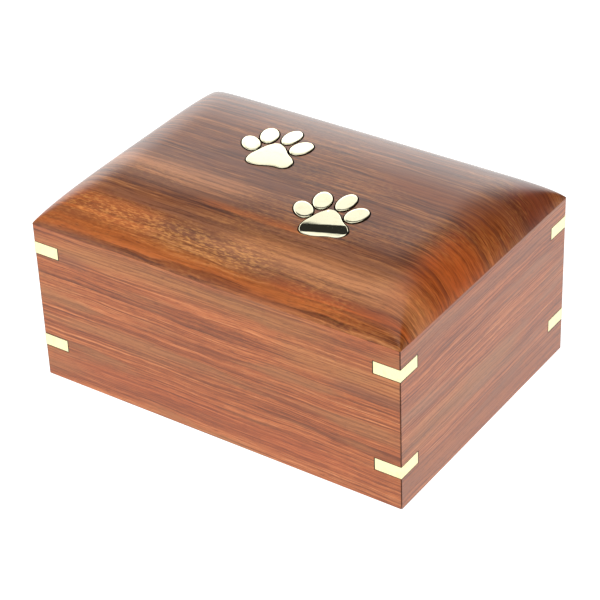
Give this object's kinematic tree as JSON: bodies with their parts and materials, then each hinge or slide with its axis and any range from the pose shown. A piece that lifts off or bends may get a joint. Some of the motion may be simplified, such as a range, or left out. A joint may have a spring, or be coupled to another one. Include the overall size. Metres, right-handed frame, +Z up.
{
  "type": "pet cremation urn",
  "caption": "Mitred rosewood box urn with a domed top, brass keys across its corners, brass paw prints let into the top and a screwed base panel over a hollow for ashes",
  "frame": {"origin": "middle of the underside, on the surface that the box stands on", "axes": "+X along the length, +Y towards the back (the paw prints' toes point back), +Z up"},
  "size_m": [0.19, 0.1386, 0.0977],
  "materials": {
    "rosewood_walls": "clear gloss lacquer over reddish tan rosewood",
    "rosewood_top": "clear gloss lacquer over dark red-brown rosewood",
    "rosewood_base": "thin satin lacquer",
    "key_brass": "sanded flush and lacquered",
    "paw_brass": "polished and lacquered",
    "screw_brass": "plain turned brass, slightly dull"
  },
  "bodies": {
    "root": {"front_board": "rosewood_walls", "back_board": "rosewood_walls", "left_end_board": "rosewood_walls", "right_end_board": "rosewood_walls", "domed_top": "rosewood_top", "base_panel": "rosewood_base", "corner_key_front_left_lower": "key_brass", "corner_key_front_left_upper": "key_brass", "corner_key_front_right_lower": "key_brass", "corner_key_front_right_upper": "key_brass", "corner_key_back_right_lower": "key_brass", "corner_key_back_right_upper": "key_brass", "corner_key_back_left_lower": "key_brass", "corner_key_back_left_upper": "key_brass", "left_paw_pad": "paw_brass", "left_paw_toe_1": "paw_brass", "left_paw_toe_2": "paw_brass", "left_paw_toe_3": "paw_brass", "left_paw_toe_4": "paw_brass", "right_paw_pad": "paw_brass", "right_paw_toe_1": "paw_brass", "right_paw_toe_2": "paw_brass", "right_paw_toe_3": "paw_brass", "right_paw_toe_4": "paw_brass", "base_screw_front_left": "screw_brass", "base_screw_front_right": "screw_brass", "base_screw_back_right": "screw_brass", "base_screw_back_left": "screw_brass"}
  },
  "joints": []
}
